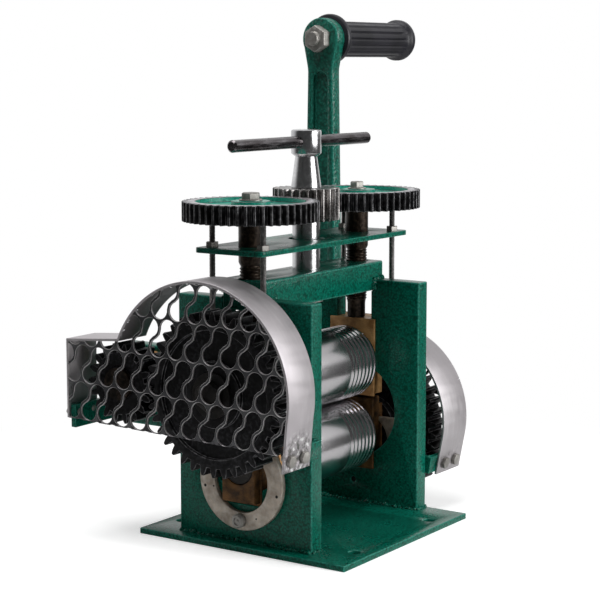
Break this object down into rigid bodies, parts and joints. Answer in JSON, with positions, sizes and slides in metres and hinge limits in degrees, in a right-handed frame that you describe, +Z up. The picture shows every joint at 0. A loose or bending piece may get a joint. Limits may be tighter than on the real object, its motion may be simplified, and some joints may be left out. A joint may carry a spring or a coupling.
{
  "type": "hand cranked rolling mill",
  "caption": "Jeweller's hand cranked rolling mill: steel rolls between two plates, gear driven from both ends, a tee bar that opens the gap, punched sheet guards and a base for bench bolts.",
  "frame": {"origin": "underside of the base plate, below the middle of the rolls", "axes": "+X along the rolls towards the crank, -Y towards the open front where the metal is fed, +Z up"},
  "size_m": [0.269, 0.1502, 0.2622],
  "materials": {
    "green_enamel": "hammered gloss enamel",
    "bearing_bronze": "sawn and filed bronze, dull",
    "roll_steel": "ground and polished",
    "black_iron": "black oxide, oiled",
    "guard_metal": "brushed sheet",
    "plated_steel": "zinc plated",
    "chrome_plate": "bright chrome",
    "pinion_steel": "bright cut teeth",
    "oiled_steel": "oiled, brown with use",
    "grip_plastic": "fluted black plastic"
  },
  "bodies": {
    "frame": {"base_plate": "green_enamel", "side_plate_left": "green_enamel", "side_plate_right": "green_enamel", "cross_beam": "green_enamel", "lower_block_left": "bearing_bronze", "lower_block_right": "bearing_bronze", "keeper_ring_left": "plated_steel", "keeper_ring_right": "plated_steel", "keeper_bolts": "plated_steel", "crank_bushes": "bearing_bronze", "idler_pin": "oiled_steel", "guard_band_left": "guard_metal", "guard_band_right": "guard_metal", "guard_sheet_left": "guard_metal", "guard_sheet_right": "guard_metal", "guard_lugs_left": "green_enamel", "guard_lugs_right": "green_enamel", "guard_screws_left": "plated_steel", "guard_screws_right": "plated_steel", "lower_thrust_washers": "bearing_bronze"},
    "upper_carriage": {"lift_plate": "green_enamel", "lift_studs": "plated_steel", "lift_nuts": "plated_steel", "upper_block_left": "bearing_bronze", "upper_block_right": "bearing_bronze"},
    "upper_washers": {"upper_thrust_washers": "bearing_bronze"},
    "upper_roll": {"upper_roll": "roll_steel", "upper_roll_gear": "black_iron", "upper_gear_bolt": "plated_steel"},
    "lower_roll": {"lower_roll": "roll_steel", "lower_roll_gear": "black_iron", "lower_gear_bolt": "plated_steel"},
    "crank": {"crank_shaft": "oiled_steel", "crank_pinion_left": "black_iron", "crank_pinion_right": "black_iron", "crank_arm": "green_enamel", "crank_nut": "plated_steel", "handle_bolt": "plated_steel", "handle_nut": "plated_steel"},
    "grip": {"grip": "grip_plastic"},
    "idler": {"idler_gear": "black_iron"},
    "spindle": {"spindle": "chrome_plate", "spindle_pinion": "pinion_steel", "tee_bar": "chrome_plate", "spindle_clip": "plated_steel"},
    "screw_left": {"screw_left": "oiled_steel", "screw_gear_left": "black_iron", "screw_bolt_left": "plated_steel", "lift_ring_left": "plated_steel"},
    "screw_right": {"screw_right": "oiled_steel", "screw_gear_right": "black_iron", "screw_bolt_right": "plated_steel", "lift_ring_right": "plated_steel"}
  },
  "joints": [
    {"name": "crank_turn", "type": "hinge", "parent": "frame", "child": "crank", "pos_m": [0, 0.05615, 0.0796], "axis": [1, 0, 0], "continuous": true},
    {"name": "grip_spin", "type": "hinge", "parent": "crank", "child": "grip", "pos_m": [0.14, 0.05615, 0.2482], "axis": [1, 0, 0], "continuous": true},
    {"name": "idler_spin", "type": "hinge", "parent": "frame", "child": "idler", "pos_m": [0.06, 0.0561, 0.04345], "axis": [1, 0, 0], "continuous": true},
    {"name": "lower_roll_spin", "type": "hinge", "parent": "frame", "child": "lower_roll", "pos_m": [0, 0, 0.041], "axis": [1, 0, 0], "continuous": true},
    {"name": "tee_turn", "type": "hinge", "parent": "frame", "child": "spindle", "pos_m": [0, 0, 0.15], "axis": [0, 0, 1], "range_deg": [-1836.5, 184]},
    {"name": "carriage_lift", "type": "slide", "parent": "frame", "child": "upper_carriage", "axis": [0, 0, 1], "range_m": [-0.0005, 0.005]},
    {"name": "screw_left_turn", "type": "hinge", "parent": "upper_carriage", "child": "screw_left", "pos_m": [-0.0476, 0, 0.13], "axis": [0, 0, 1], "range_deg": [-90.5, 900.5]},
    {"name": "screw_right_turn", "type": "hinge", "parent": "upper_carriage", "child": "screw_right", "pos_m": [0.0476, 0, 0.13], "axis": [0, 0, 1], "range_deg": [-90.5, 900.5]},
    {"name": "washer_roll_back", "type": "hinge", "parent": "upper_carriage", "child": "upper_washers", "pos_m": [0, 0, 0.0796], "axis": [1, 0, 0], "range_deg": [-7.6, 0.8]},
    {"name": "upper_roll_spin", "type": "hinge", "parent": "upper_washers", "child": "upper_roll", "pos_m": [0, 0, 0.0796], "axis": [1, 0, 0], "continuous": true}
  ],
  "couplings": [
    {"joint": "idler_spin", "follows": "crank_turn", "ratio": -1},
    {"joint": "lower_roll_spin", "follows": "crank_turn", "ratio": 0.47368},
    {"joint": "upper_roll_spin", "follows": "crank_turn", "ratio": -0.47368},
    {"joint": "tee_turn", "follows": "carriage_lift", "rad_per_m": -6408.8},
    {"joint": "screw_left_turn", "follows": "carriage_lift", "rad_per_m": 3141.6},
    {"joint": "screw_right_turn", "follows": "carriage_lift", "rad_per_m": 3141.6},
    {"joint": "washer_roll_back", "follows": "carriage_lift", "rad_per_m": -26.245}
  ]
}
